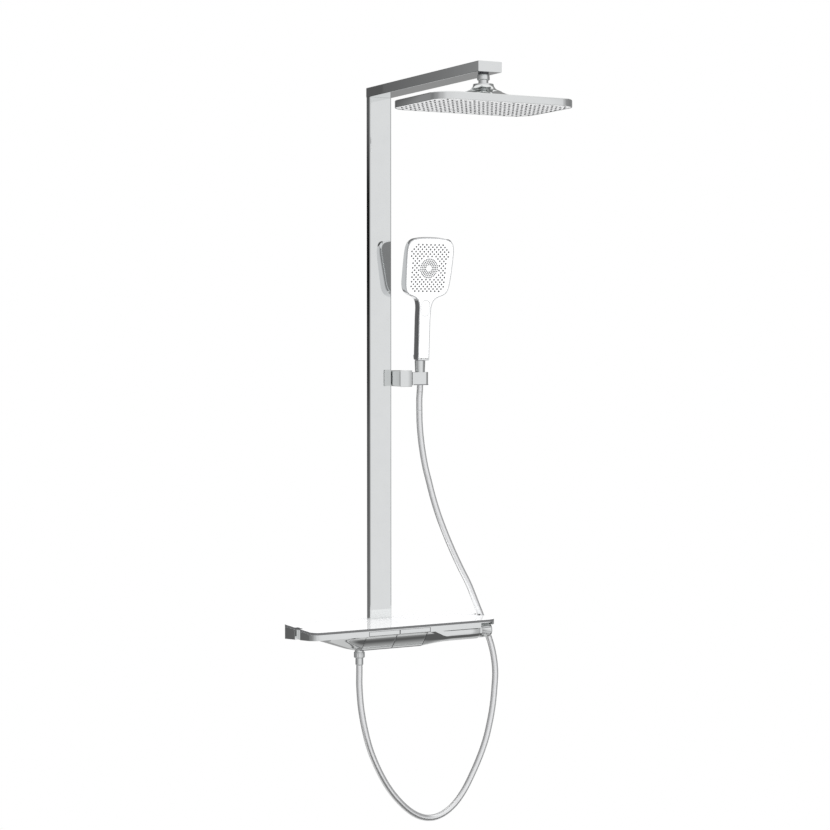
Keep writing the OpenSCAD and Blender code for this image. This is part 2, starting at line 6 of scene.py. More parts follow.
import bmesh
import bpy
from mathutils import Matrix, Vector

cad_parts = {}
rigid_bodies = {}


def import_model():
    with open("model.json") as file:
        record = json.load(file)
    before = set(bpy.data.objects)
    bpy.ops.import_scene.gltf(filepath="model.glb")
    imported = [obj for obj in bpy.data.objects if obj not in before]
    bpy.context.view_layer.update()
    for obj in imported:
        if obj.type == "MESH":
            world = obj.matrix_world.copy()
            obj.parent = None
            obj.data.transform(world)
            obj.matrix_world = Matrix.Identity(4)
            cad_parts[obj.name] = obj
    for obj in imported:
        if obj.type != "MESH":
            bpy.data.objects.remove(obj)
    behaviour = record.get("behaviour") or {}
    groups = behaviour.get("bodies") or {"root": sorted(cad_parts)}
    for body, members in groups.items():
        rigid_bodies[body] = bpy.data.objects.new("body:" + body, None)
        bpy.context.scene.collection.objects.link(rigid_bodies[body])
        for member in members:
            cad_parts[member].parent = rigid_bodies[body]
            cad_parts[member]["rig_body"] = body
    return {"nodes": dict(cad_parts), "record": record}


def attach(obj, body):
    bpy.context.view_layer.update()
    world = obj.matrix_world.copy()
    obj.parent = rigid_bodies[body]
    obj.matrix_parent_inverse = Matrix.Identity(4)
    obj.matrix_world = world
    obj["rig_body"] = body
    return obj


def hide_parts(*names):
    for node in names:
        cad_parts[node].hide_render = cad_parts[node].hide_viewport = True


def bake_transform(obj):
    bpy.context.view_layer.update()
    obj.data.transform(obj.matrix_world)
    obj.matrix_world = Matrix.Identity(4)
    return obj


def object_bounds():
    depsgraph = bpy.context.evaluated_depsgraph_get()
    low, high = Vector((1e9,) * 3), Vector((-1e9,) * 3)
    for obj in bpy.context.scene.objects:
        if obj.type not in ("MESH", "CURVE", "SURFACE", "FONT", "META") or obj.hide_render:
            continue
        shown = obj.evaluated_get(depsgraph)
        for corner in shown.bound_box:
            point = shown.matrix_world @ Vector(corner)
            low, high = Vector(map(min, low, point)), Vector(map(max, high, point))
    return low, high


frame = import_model()
CAD_LOW, CAD_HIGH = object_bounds()
MM = 0.001
scene = bpy.context.scene
collection = scene.collection


# ------------------------------------------------------------------ camera
camera_data = bpy.data.cameras.new("camera")
camera_data.lens = 84.56
camera_data.sensor_width = 36.0
camera_data.clip_end = 60.0
camera = bpy.data.objects.new("camera", camera_data)
camera.location = (-1.9728, -3.9014, 0.6657)
camera.rotation_euler = (math.radians(87.569), 0.0, math.radians(-27.958))
collection.objects.link(camera)
scene.camera = camera
scene.view_settings.view_transform = "Standard"
scene.view_settings.look = "None"


# ------------------------------------------------------------------ materials
class Nodes:
    """Adds nodes to one material, with the shared object coordinates."""

    def __init__(self, name):
        self.material = bpy.data.materials.new(name)
        self.material.use_nodes = True
        self.tree = self.material.node_tree
        self.shader = self.tree.nodes["Principled BSDF"]
        self.coords = self.add("ShaderNodeTexCoord").outputs["Object"]

    def add(self, kind, **values):
        node = self.tree.nodes.new(kind)
        for key, value in values.items():
            setattr(node, key, value)
        return node

    def link(self, a, b):
        self.tree.links.new(a, b)

    def noise(self, scale, detail=3.0, stretch=(1, 1, 1)):
        """A soft cloud, from 0 to 1."""
        mapping = self.add("ShaderNodeMapping")
        mapping.inputs["Scale"].default_value = stretch
        self.link(self.coords, mapping.inputs["Vector"])
        node = self.add("ShaderNodeTexNoise")
        node.inputs["Scale"].default_value = scale
        node.inputs["Detail"].default_value = detail
        self.link(mapping.outputs["Vector"], node.inputs["Vector"])
        return node.outputs["Fac"]

    def ramp(self, value, stops):
        """Colours for a value, at stops of (place, colour)."""
        node = self.add("ShaderNodeValToRGB")
        ramp = node.color_ramp
        while len(ramp.elements) < len(stops):
            ramp.elements.new(0.5)
        for element, (place, colour) in zip(ramp.elements, stops):
            element.position = place
            element.color = (*colour, 1.0)
        self.link(value, node.inputs["Fac"])
        return node.outputs["Color"]

    def spread(self, value, low, high):
        """The middle of a cloud's range, brought to low and high."""
        node = self.add("ShaderNodeMapRange")
        node.inputs["From Min"].default_value = 0.3
        node.inputs["From Max"].default_value = 0.7
        node.inputs["To Min"].default_value = low
        node.inputs["To Max"].default_value = high
        self.link(value, node.inputs["Value"])
        return node.outputs["Result"]

    def bump(self, height, strength, distance):
        node = self.add("ShaderNodeBump")
        node.inputs["Strength"].default_value = strength
        node.inputs["Distance"].default_value = distance
        self.link(height, node.inputs["Height"])
        self.link(node.outputs["Normal"], self.shader.inputs["Normal"])


def shades(colour, spread):
    """A darker and a lighter version of one colour."""
    return [tuple(min(1.0, c * k) for c in colour) for k in (1 - spread, 1 + spread)]


def finish_material(
    name, colour, metallic, rough, vary=0.02, spread=0.015, scale=60.0,
    bump=0.0, bump_scale=900.0, stretch=(1, 1, 1), coat=0.0, specular=0.5,
):
    """A surface whose colour and roughness vary slightly, with a fine bump."""
    n = Nodes(name)
    dark, light = shades(colour, spread)
    cloud = n.noise(scale, 3.0, stretch)
    n.link(n.ramp(cloud, [(0.3, dark), (0.7, light)]), n.shader.inputs["Base Color"])
    n.link(n.spread(n.noise(scale * 0.7, 4.0, stretch), rough, rough + vary),
           n.shader.inputs["Roughness"])
    n.shader.inputs["Metallic"].default_value = metallic
    n.shader.inputs["Specular IOR Level"].default_value = specular
    if coat:
        n.shader.inputs["Coat Weight"].default_value = coat
        n.shader.inputs["Coat Roughness"].default_value = 0.05
    if bump:
        n.bump(n.noise(bump_scale, 2.0, stretch), bump, 0.0002)
    return n.material


MATERIALS = {
    "chrome": finish_material(
        "chrome", (0.80, 0.815, 0.812), 1.0, 0.03, vary=0.03, spread=0.01,
        scale=35.0, bump=0.012, bump_scale=140.0),
    "chrome_plastic": finish_material(
        "chrome_plastic", (0.80, 0.81, 0.82), 1.0, 0.05, vary=0.04, spread=0.01,
        scale=45.0, bump=0.02, bump_scale=180.0),
    "white_plate": finish_material(
        "white_plate", (0.93, 0.935, 0.94), 0.0, 0.10, vary=0.05, spread=0.01,
        scale=25.0, bump=0.01, bump_scale=400.0, coat=0.15, specular=0.3),
    "white_plastic": finish_material(
        "white_plastic", (0.90, 0.905, 0.91), 0.0, 0.22, vary=0.07, spread=0.012,
        scale=50.0, bump=0.05, bump_scale=1600.0, coat=0.25),
    "silicone": finish_material(
        "silicone", (0.11, 0.112, 0.115), 0.0, 0.45, vary=0.12, spread=0.10,
        scale=300.0, bump=0.15, bump_scale=2500.0),
    "brass": finish_material(
        "brass", (0.66, 0.50, 0.25), 1.0, 0.28, vary=0.14, spread=0.10,
        scale=120.0, bump=0.15, bump_scale=1200.0, stretch=(1, 1, 6)),
    "steel": finish_material(
        "steel", (0.56, 0.56, 0.57), 1.0, 0.25, vary=0.12, spread=0.06,
        scale=200.0, bump=0.12, bump_scale=1500.0, stretch=(8, 1, 1)),
    "inner_plastic": finish_material(
        "inner_plastic", (0.10, 0.10, 0.11), 0.0, 0.42, vary=0.14, spread=0.12,
        scale=220.0, bump=0.25, bump_scale=2200.0),
    "hose": finish_material(
        "hose", (0.88, 0.885, 0.89), 0.9, 0.20, vary=0.06, spread=0.02,
        scale=90.0, bump=0.05, bump_scale=900.0, coat=0.2),
}
PLATE_EDGE = finish_material(
    "plate_edge", (0.12, 0.122, 0.125), 0.0, 0.16, vary=0.06, spread=0.04,
    scale=60.0, bump=0.02, bump_scale=500.0, coat=0.25)
# a near-black material for painted shade in narrow gaps
PAINTED_GAP_SHADE = finish_material(
    "shadow_gap", (0.05, 0.05, 0.055), 0.0, 0.6, vary=0.1, spread=0.1,
    scale=200.0, bump=0.1, bump_scale=1500.0)

SLOTS = {s["node"]: s["material_slot"] for s in frame["record"]["subparts"]}


# ------------------------------------------------------------------ mesh helpers
def new_object(name, verts, faces, slot, smooth=True, materials=None):
    """An object in its material slot, its faces all turned outwards."""
    mesh = bpy.data.meshes.new(name)
    mesh.from_pydata([tuple(v) for v in verts], [], faces)
    mesh.validate()
    obj = bpy.data.objects.new(name, mesh)
    collection.objects.link(obj)
    for m in materials or [MATERIALS[slot]]:
        mesh.materials.append(m)
    bm = bmesh.new()
    bm.from_mesh(mesh)
    bmesh.ops.recalc_face_normals(bm, faces=bm.faces)
    for face in bm.faces:
        face.smooth = smooth
    bm.to_mesh(mesh)
    bm.free()
    return obj


def ring_faces(rings, size, closed=True):
    """Faces between neighbouring rings of points; an open ring's ends aren't joined."""
    faces = []
    for i in range(rings - 1):
        for k in range(size if closed else size - 1):
            j = (k + 1) % size
            faces.append((i * size + k, i * size + j, (i + 1) * size + j, (i + 1) * size + k))
    return faces


def closed_faces(rings, size):
    """The same with a flat face on the first ring and one on the last."""
    return ring_faces(rings, size) + [
        tuple(range(size)), tuple((rings - 1) * size + k for k in range(size))]


def apply_modifiers(obj):
    graph = bpy.context.evaluated_depsgraph_get()
    graph.update()
    mesh = bpy.data.meshes.new_from_object(obj.evaluated_get(graph))
    obj.modifiers.clear()
    obj.data = mesh


def smooth_by_angle(obj, degrees):
    """Smooth shading with sharp edges where faces meet at more than that angle."""
    bm = bmesh.new()
    bm.from_mesh(obj.data)
    limit = math.radians(degrees)
    for face in bm.faces:
        face.smooth = True
    for edge in bm.edges:
        edge.smooth = not (len(edge.link_faces) == 2 and edge.calc_face_angle(0.0) > limit)
    bm.to_mesh(obj.data)
    bm.free()


def flatten_normals(obj):
    """Large flat faces keep their own direction beside rounded edges."""
    obj.modifiers.new("normals", "WEIGHTED_NORMAL").keep_sharp = True
    apply_modifiers(obj)


EDGE_ANGLE = 32.0  # faces that meet at more than this angle get a rounded edge


def soften(node, width, edge_material=None):
    """A copy of a CAD node with small rounded edges, which stands for it."""
    source = frame["nodes"][node]
    mesh = source.data.copy()
    obj = bpy.data.objects.new(node + "_finished", mesh)
    collection.objects.link(obj)
    mesh.materials.clear()
    mesh.materials.append(MATERIALS[SLOTS[node]])
    bm = bmesh.new()
    bm.from_mesh(mesh)
    bmesh.ops.remove_doubles(bm, verts=bm.verts, dist=2e-6)
    bmesh.ops.dissolve_limit(
        bm, angle_limit=math.radians(0.6), verts=bm.verts, edges=bm.edges)
    bmesh.ops.recalc_face_normals(bm, faces=bm.faces)
    bm.to_mesh(mesh)
    bm.free()
    if width:
        bevel = obj.modifiers.new("edges", "BEVEL")
        bevel.width = width
        bevel.segments = 3
        bevel.limit_method = "ANGLE"
        bevel.angle_limit = math.radians(EDGE_ANGLE)
        bevel.miter_outer = "MITER_ARC"
        apply_modifiers(obj)
    smooth_by_angle(obj, 40.0)
    if width:
        flatten_normals(obj)
    if edge_material:
        obj.data.materials.append(edge_material)
        for polygon in obj.data.polygons:
            if abs(polygon.normal.z) < 0.6:
                polygon.material_index = 1
    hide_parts(node)
    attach(obj, source["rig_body"])


def curve_through(points, per):
    """Points in metres on a smooth curve through the route's points in millimetres."""
    route = [Vector(p) * MM for p in points]
    last = len(route) - 1
    result = []
    for i in range(last):
        a, b = route[max(i - 1, 0)], route[i]
        c, d = route[i + 1], route[min(i + 2, last)]
        for k in range(per):
            t = k / per
            result.append(0.5 * (2 * b + (c - a) * t + (2 * a - 5 * b + 4 * c - d) * t * t
                                 + (3 * b - a - 3 * c + d) * t ** 3))
    return result + [route[last]]


HOSE_D = 14.0
HOSE_SIDES = 28


def tube(name, path):
    """A length of hose along the path, its two ends cut level."""
    radius = HOSE_D / 2 * MM
    verts = []
    last = len(path) - 1
    for i, centre in enumerate(path):
        along = path[max(i - 1, 0)] - path[min(i + 1, last)]
        if i in (0, last):
            along = Vector((0, 0, math.copysign(1, along.z)))
        side = along.normalized().cross(Vector((0, 1, 0))).normalized()
        up = side.cross(along.normalized())
        for k in range(HOSE_SIDES):
            a = 2 * math.pi * k / HOSE_SIDES
            v = centre + radius * (math.cos(a) * side + math.sin(a) * up)
            v.x = min(v.x, CAD_HIGH.x)
            v.z = max(v.z, CAD_LOW.z)
            verts.append(v)
    return new_object(name, verts, closed_faces(len(path), HOSE_SIDES), "hose")


# ------------------------------------------------------------------ hose
# the route from the cone down through the holder and the shelf's notch to the outlet, mm
HOSE_TOP = [(84.7, -48.7, 550), (84.6, -48.9, 541), (84, -49, 532)]
HOSE_MID = [(84, -49, 532), (83, -49, 518), (82.5, -49.5, 505), (82.5, -50, 490)]
HOSE = [
    (82.5, -50, 490), (83, -50, 465), (85, -51, 435), (89, -52, 402), (95, -54, 366),
    (103, -56, 333), (112, -59, 296), (124, -61, 258), (139, -64, 218), (157, -66, 177),
    (177, -68, 136), (198, -70, 96), (214, -72, 58), (228, -73.5, 24), (241, -75, -10),
    (253, -76, -42), (261, -77, -76), (264, -78, -110), (262, -78, -145), (257, -79, -185),
    (249, -80, -222), (238, -81, -260), (223, -82, -296), (203, -83, -334), (180, -84, -371),
    (155, -85, -399), (127, -86, -417), (98, -87, -424), (68, -88, -419), (38, -89, -402),
    (8, -90, -374), (-18, -90, -341), (-42, -91, -300), (-62, -91, -254), (-76, -92, -206),
    (-85, -92, -158), (-89, -92, -112), (-89, -92, -80), (-89, -92, -62.5),
]
hose_path = curve_through(HOSE, 8)
hose = tube("hose_long_run", hose_path)
hose_mid = tube("hose_under_holder", curve_through(HOSE_MID, 6))
hose_top = tube("hose_at_cone", curve_through(HOSE_TOP, 4))
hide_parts("shower_hose")
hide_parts("hose_mid")
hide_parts("hose_top")
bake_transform(hose)
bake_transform(hose_mid)
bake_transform(hose_top)


# ------------------------------------------------------------------ carried-over CAD nodes
# the width of the rounded edges in metres; 0 only smooths the shading
SOFTENED = {
    "column_profile": 0.0007, "arm_profile": 0.0007, "arm_screw_cap": 0.0003,
    "head_bell": 0.0, "ball_stem": 0.0003, "shelf_plate": 0.0006, "shelf_tray": 0.0004,
    "end_cap_left": 0.0006, "end_cap_right": 0.0006,
    "holder_block": 0.0010, "cone_nut": 0.0004, "safety_button": 0.0004,
    "top_bracket": 0.0004, "union_nut_left": 0.0006, "union_nut_right": 0.0006,
    "wall_plate": 0.0004, "outlet_spout": 0.0004,
}
for node_name, node_object in frame["nodes"].items():
    node_object.data.materials.clear()
    node_object.data.materials.append(MATERIALS[SLOTS[node_name]])
    if node_name in SOFTENED:
        soften(node_name, SOFTENED[node_name],
               edge_material=PLATE_EDGE if node_name == "shelf_plate" else None)


# ------------------------------------------------------------------ hand shower
CX, CONE_Y = 84.7, -48.7  # middle of the hand shower across, and of its cone in depth, mm
FRONT, THICK = 1, 2  # columns of DEPTHS


def blend_points(points, steps):
    """Points in millimetres on a smooth curve through the given ones."""
    return [p / MM for p in curve_through(points, steps)]


# the right half of the outline seen from the front: x from the middle, 0, height
OUTLINE = [
    (0, 0, 874.4), (14, 0, 874.1), (28, 0, 872.9), (40, 0, 870.6), (48, 0, 867.0),
    (53.5, 0, 860.5), (56.3, 0, 852), (57.2, 0, 840), (56.9, 0, 824), (56.3, 0, 808),
    (55.6, 0, 792), (54.8, 0, 776), (53.8, 0, 766), (51.4, 0, 757.5), (46.8, 0, 751),
    (40.5, 0, 747.2), (33, 0, 744.6), (26.5, 0, 741.6), (21, 0, 737.2), (17.2, 0, 731),
    (15.2, 0, 723), (14.5, 0, 712), (14.3, 0, 690), (14.15, 0, 665), (14.05, 0, 640),
    (14, 0, 618), (14, 0, 606.5), (13.4, 0, 603.6), (11, 0, 602.7), (0, 0, 602.6),
]
# the front surface and the thickness at each height: height, y of the front, thickness
DEPTHS = [
    (602.0, -66.5, 30.0), (640, -68.5, 29.8), (680, -70.6, 29.6), (705, -72.4, 29.4),
    (725, -75.8, 29.2), (745, -80.1, 28.6), (761, -82.8, 27.2), (790, -87.9, 24.6),
    (820, -93.2, 21.6), (850, -98.5, 18.4), (876, -103.0, 15.8),
]


def slope_at(rows, index, column):
    """The rate of change at one row, from the rows on its two sides."""
    low, high = rows[max(index - 1, 0)], rows[min(index + 1, len(rows) - 1)]
    return (high[column] - low[column]) / (high[0] - low[0])


def on_rows(rows, at, column):
    """A column of the rows at one place, on a smooth curve through them."""
    at = min(max(at, rows[0][0]), rows[-1][0])
    index = max(i for i in range(len(rows) - 1) if rows[i][0] <= at)
    low, high = rows[index], rows[index + 1]
    step = high[0] - low[0]
    t = (at - low[0]) / step
    return ((1 + 2 * t) * (1 - t) ** 2 * low[column]
            + t * (1 - t) ** 2 * step * slope_at(rows, index, column)
            + t * t * (3 - 2 * t) * high[column]
            - t * t * (1 - t) * step * slope_at(rows, index + 1, column))


def at_height(z, column):
    """The hand shower's front surface or thickness at that height."""
    return on_rows(DEPTHS, z, column)


def lean_at(z):
    """How far the front face leans at that height: more on the head than on the handle."""
    return math.radians(3 + 7 * min(1.0, max(0.0, (z - 700) / 55)))


HALF = [(p.x, p.z) for p in blend_points(OUTLINE, 4)]


def inset_half(amount):
    """The half outline moved inwards by amount, never past the middle."""
    result = []
    for i, (x, z) in enumerate(HALF):
        a, b = HALF[max(i - 1, 0)], HALF[min(i + 1, len(HALF) - 1)]
        tx, tz = b[0] - a[0], b[1] - a[1]
        size = math.hypot(tx, tz)
        nx, nz = tz / size, -tx / size  # points inwards for an outline drawn downwards
        if i in (0, len(HALF) - 1):
            nx = 0.0
            nz = -1.0 if i == 0 else 1.0
        result.append((max(0.0, x + nx * amount), z + nz * amount))
    result[0] = (0.0, result[0][1])
    result[-1] = (0.0, result[-1][1])
    return result


def place(x, z, depth):
    """A point of the outline's grid, depth behind the front surface, in metres."""
    lean = lean_at(z)
    shift = 1.2 * min(1.0, max(0.0, (z - 745) / 50))
    return Vector((CX + x * (1 + 0.02 * shift) + shift,
                   at_height(z, FRONT) + depth * math.cos(lean),
                   z + depth * math.sin(lean))) * MM


def ring(inset, depth):
    """One closed ring round the outline; depth may depend on the height."""
    right = inset_half(inset)
    left = [(-x, z) for x, z in reversed(right[1:-1])]
    return [place(x, z, depth(z) if callable(depth) else depth) for x, z in right + left]


def ringed_body(name, rings, slot):
    """A closed body through rings that all come from the half outline."""
    n = len(HALF)
    size = len(rings[0])
    verts = [v for r in rings for v in r]
    faces = ring_faces(len(rings), size)
    for level in (0, len(rings) - 1):
        base = level * size
        for i in range(n - 1):
            a, b = base + i, base + i + 1
            c = base + (size - i - 1) % size if i + 1 < n - 1 else None
            d = base + (size - i) % size
            quad = [a, b] + ([c] if c is not None else []) + ([d] if i else [])
            if len(set(quad)) >= 3:
                faces.append(tuple(quad))
    return new_object(name, verts, faces, slot)


def back_radius(z):
    """Rounding of the back edge: wide on the handle, tighter on the head."""
    t = min(1.0, max(0.0, (z - 715) / 60))
    return 11.0 - 5.0 * t


def shell_ring(turn):
    """A ring on the rounded back edge, turn going from 0 at the side to 1 at the back."""
    a = turn * math.pi / 2
    right = []
    for (x0, z0), (x1, z1) in zip(inset_half(0.0), inset_half(1.0)):
        r = back_radius(z0)
        inset = r * (1 - math.cos(a))
        x = max(0.0, x0 + (x1 - x0) * inset)
        z = z0 + (z1 - z0) * inset
        right.append((x, z, at_height(z0, THICK) - r * (1 - math.sin(a))))
    left = [(-x, z, d) for x, z, d in reversed(right[1:-1])]
    return [place(x, z, d) for x, z, d in right + left]


shell = ringed_body(
    "handset_body",
    [ring(3.0, 2.2), ring(1.85, 2.0), ring(1.7, 0.5), ring(1.25, 0.12), ring(0.65, 0.22),
     ring(0.15, 0.7), ring(0.0, 1.4), ring(0.0, 4.0), ring(0.0, 8.0)]
    + [shell_ring(t / 8) for t in range(9)],
    "chrome_plastic")
smooth_by_angle(shell, 55.0)
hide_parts("handset_shell")
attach(shell, "handset")

face = ringed_body(
    "handset_white_face",
    [ring(6.0, 0.0), ring(2.9, 0.0), ring(2.25, 0.12), ring(1.95, 0.45), ring(1.9, 1.9),
     ring(6.0, 1.95)],
    "white_plastic")

BUTTON_Z = 719.0
BUTTON_SPAN = 17.0  # from the button's middle to where the handle's slope is taken


def stadium_block(name, width, height, top, bottom, slot, rounding=0.0):
    """A stadium on the handle's front, from depth top back to depth bottom."""
    steps = 20
    outline = []
    for s in (1, -1):
        for k in range(steps + 1):
            a = math.pi * k / steps
            outline.append((s * math.cos(a) * width / 2,
                            s * (math.sin(a) * width / 2 + (height - width) / 2)))
    levels = [(1.0, bottom), (1.0, top + rounding)]
    if rounding:
        for k in range(1, 5):
            a = math.pi / 2 * k / 4
            shrink = 1 - 2 * rounding * (1 - math.cos(a)) / width
            levels.append((shrink, top + rounding * (1 - math.sin(a))))
        for k in (0.75, 0.5, 0.25):
            levels.append((k, top - 0.25 * (1 - k)))
    rise = at_height(BUTTON_Z + BUTTON_SPAN, FRONT) - at_height(BUTTON_Z - BUTTON_SPAN, FRONT)
    slope = rise / (2 * BUTTON_SPAN)
    middle = at_height(BUTTON_Z, FRONT)
    verts = []
    for shrink, depth in levels:
        for x, z in outline:
            y = middle + slope * z * shrink + depth
            verts.append(Vector((CX + x * shrink, y, BUTTON_Z + z * shrink)) * MM)
    return new_object(name, verts, closed_faces(len(levels), len(outline)), slot)


def cut(obj, cutter):
    """Takes the cutter's shape out of the object."""
    boolean = obj.modifiers.new("cut", "BOOLEAN")
    boolean.operation = "DIFFERENCE"
    boolean.solver = "EXACT"
    boolean.object = cutter
    apply_modifiers(obj)


cutter = stadium_block("cutter", 21.2, 36.2, -3.0, 3.6, "white_plastic")
cut(face, cutter)
cut(shell, cutter)
bpy.data.objects.remove(cutter)
smooth_by_angle(face, 50.0)
smooth_by_angle(shell, 55.0)
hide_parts("handset_face")
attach(face, "handset")

button = stadium_block("select_button_cap", 19.8, 34.8, -0.35, 1.4, "white_plastic", 0.7)
smooth_by_angle(button, 50.0)
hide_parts("select_button")
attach(button, "button")


NOZZLE = [(1.0, -0.2), (1.0, 0.45), (0.82, 0.8), (0.45, 1.0)]  # radius and height, foot to tip


def dots(name, places, radius, height, sides=10):
    """Small domed nozzles: each place is a point and the direction it points."""
    one = closed_faces(len(NOZZLE), sides)
    verts, faces = [], []
    for point, out in places:
        axis = out.normalized()
        u = axis.cross(Vector((1, 0, 0.2))).normalized()
        v = axis.cross(u)
        base = len(verts)
        for r, h in NOZZLE:
            for k in range(sides):
                a = 2 * math.pi * k / sides
                verts.append(point + (u * math.cos(a) + v * math.sin(a)) * radius * r
                             + axis * height * h)
        faces += [tuple(base + k for k in face) for face in one]
    return new_object(name, verts, faces, "silicone")


def half_width(z, inset):
    """Half the width inside the inset outline at that height."""
    rows = inset_half(inset)
    best = 0.0
    for (x0, z0), (x1, z1) in zip(rows, rows[1:]):
        if (z0 - z) * (z1 - z) <= 0 and z0 != z1:
            best = max(best, x0 + (x1 - x0) * (z - z0) / (z1 - z0))
    return best


RING_X, RING_Z = -1.0, 807.0  # middle of the round group of fine nozzles
RING_CLEAR = 25.0  # the staggered rows keep this far from it
FACE_TOP, FACE_FOOT = 858.7, 755.0
ROW_STEP, COLUMN_STEP = 5.1, 10.0
FINE_RINGS = ((20.4, 30), (16.2, 24), (12.2, 18), (8.4, 12))  # radius and number of nozzles
face_places = []
for row in range(int((FACE_TOP - FACE_FOOT) / ROW_STEP) + 1):
    z = FACE_TOP - row * ROW_STEP
    limit = half_width(z, 12.0)
    for column in range(-6, 7):
        across = (column + (0.5 if row % 2 else 0.0)) * COLUMN_STEP
        clear = math.hypot(across, z - RING_Z) >= RING_CLEAR
        if abs(across) <= limit and clear:
            face_places.append((RING_X + across, z))
ring_places = []
for radius, count in FINE_RINGS:
    for k in range(count):
        a = 2 * math.pi * (k + 0.5) / count
        ring_places.append((RING_X + radius * math.cos(a), RING_Z + radius * math.sin(a)))


def face_normal(z):
    """The direction that the front surface points at that height."""
    slope = (at_height(z + 4, FRONT) - at_height(z - 4, FRONT)) / 8.0
    return Vector((0, -1, slope)).normalized()


for name, places, radius in (("handset_nozzles", face_places, 2.1),
                             ("handset_ring_nozzles", ring_places, 1.6)):
    nozzles = dots(name, [(place(x, z, 0.0), face_normal(z)) for x, z in places],
                   radius * MM, 0.5 * MM)
    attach(nozzles, "handset")


# ------------------------------------------------------------------ overhead shower
HEAD = Vector((0.0, -478.0, 0.0))  # the ball joint's axis, mm
HEAD_W, HEAD_D, HEAD_R = 320.0, 220.0, 41.0
HEAD_Z, HEAD_TOP = 1116.7, 1132.0


CORNER_STEPS = 14


def rounded_outline(inset):
    """The head's rounded rectangle from above, moved inwards by inset."""
    points = []
    w, d, r = HEAD_W / 2 - inset, HEAD_D / 2 - inset, max(2.0, HEAD_R - inset)
    for quarter, (sx, sy) in enumerate(((1, 1), (-1, 1), (-1, -1), (1, -1))):
        for k in range(CORNER_STEPS + 1):
            a = math.pi / 2 * (quarter + k / CORNER_STEPS)
            points.append((sx * (w - r) + r * math.cos(a), sy * (d - r) + r * math.sin(a)))
    return points


def plate_body(name, levels, slot):
    """A closed body through rounded-rectangle levels of (inset, height)."""
    verts = [Vector((HEAD.x + x, HEAD.y + y, z)) * MM
             for inset, z in levels for x, y in rounded_outline(inset)]
    return new_object(name, verts, closed_faces(len(levels), len(rounded_outline(0))), slot)


rim = plate_body(
    "head_rim",
    [(6.0, HEAD_Z + 5.5), (2.3, HEAD_Z + 5.4), (2.1, HEAD_Z + 0.6), (1.7, HEAD_Z + 0.1),
     (1.2, HEAD_Z), (0.5, HEAD_Z + 0.25), (0.1, HEAD_Z + 0.9), (0.0, HEAD_Z + 1.8),
     (0.0, HEAD_TOP - 2.4), (0.15, HEAD_TOP - 1.4), (0.7, HEAD_TOP - 0.5),
     (1.6, HEAD_TOP - 0.1), (2.6, HEAD_TOP), (20.0, HEAD_TOP + 0.001)],
    "chrome")
smooth_by_angle(rim, 50.0)
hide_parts("head_shell")
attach(rim, "head")

spray = plate_body(
    "head_spray_face",
    [(2.5, HEAD_Z + 2.9), (2.5, HEAD_Z + 1.3), (2.8, HEAD_Z + 0.8), (3.4, HEAD_Z + 0.55),
     (10.0, HEAD_Z + 0.5)],
    "white_plastic")
smooth_by_angle(spray, 50.0)
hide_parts("spray_plate")
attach(spray, "head")

head_places = []
PITCH = 17.2  # distance between neighbouring nozzles, which stand in triangles
COLUMN_PITCH = PITCH * 0.866
NOZZLE_EDGE = 9.0  # free border round the nozzles
w, d, r = HEAD_W / 2 - NOZZLE_EDGE, HEAD_D / 2 - NOZZLE_EDGE, HEAD_R - NOZZLE_EDGE
for column in range(-10, 11):
    for row in range(-7, 8):
        x = column * COLUMN_PITCH
        y = (row + (0.5 if column % 2 else 0.0)) * PITCH
        dx, dy = max(0.0, abs(x) - (w - r)), max(0.0, abs(y) - (d - r))
        if math.hypot(dx, dy) > r:
            continue
        head_places.append((Vector((HEAD.x + x, HEAD.y + y, HEAD_Z + 0.5)) * MM,
                            Vector((0, 0, -1))))
head_nozzles = dots("head_nozzles", head_places, 2.1 * MM, 1.8 * MM, sides=12)
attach(head_nozzles, "head")


# ------------------------------------------------------------------ turned pieces
def turned(name, profile, origin, axis, slot, sides=64, flutes=0, flute_depth=0.0,
           flute_range=None):
    """A turned body: profile is (distance along the axis, radius), closed at both ends."""
    axis = Vector(axis).normalized()
    u = axis.cross(Vector((0, 0, 1)) if abs(axis.z) < 0.9 else Vector((1, 0, 0))).normalized()
    v = axis.cross(u)
    verts = []
    for along, radius in profile:
        for k in range(sides):
            a = 2 * math.pi * k / sides
            r = radius
            if flutes and flute_range[0] <= along <= flute_range[1]:
                r -= flute_depth * (0.5 + 0.5 * math.cos(a * flutes)) ** 2
            p = Vector(origin) + axis * along + (u * math.cos(a) + v * math.sin(a)) * r
            verts.append(p * MM)
    return new_object(name, verts, closed_faces(len(profile), sides), slot)


THERMOSTAT_Y, THERMOSTAT_Z = -127.0, -1.6  # the axis that the knob turns about
OUTLET_X, OUTLET_Y = -89.0, -92.0
ALONG_X, UPWARDS = (1, 0, 0), (0, 0, 1)

knob = turned(
    "temperature_knob_cap",
    [(0.0, 12.0), (0.0, 15.0), (0.5, 15.6), (1.2, 15.8), (2.0, 15.8), (2.4, 16.3),
     (3.2, 16.5), (5.0, 16.5), (5.4, 16.5), (27.0, 16.5), (27.6, 16.5), (29.6, 16.5),
     (30.8, 16.1), (31.6, 15.2), (32.0, 13.8), (31.7, 13.0), (31.2, 12.4), (31.2, 4.0)],
    (187, THERMOSTAT_Y, THERMOSTAT_Z), ALONG_X, "chrome", sides=192, flutes=24, flute_depth=0.7,
    flute_range=(5.4, 27.0))
smooth_by_angle(knob, 38.0)
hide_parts("temperature_knob")
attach(knob, "knob")

barrel = turned(
    "thermostat_barrel",
    [(0.0, 16.4), (0.0, 17.4), (0.6, 18.0), (3.0, 18.0), (60.0, 18.0), (80.5, 18.0),
     (81.3, 17.8), (82.0, 17.0), (82.0, 13.4)],
    (104, THERMOSTAT_Y, THERMOSTAT_Z), ALONG_X, "chrome", sides=128)
smooth_by_angle(barrel, 38.0)
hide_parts("thermostat_sleeve")
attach(barrel, "frame")

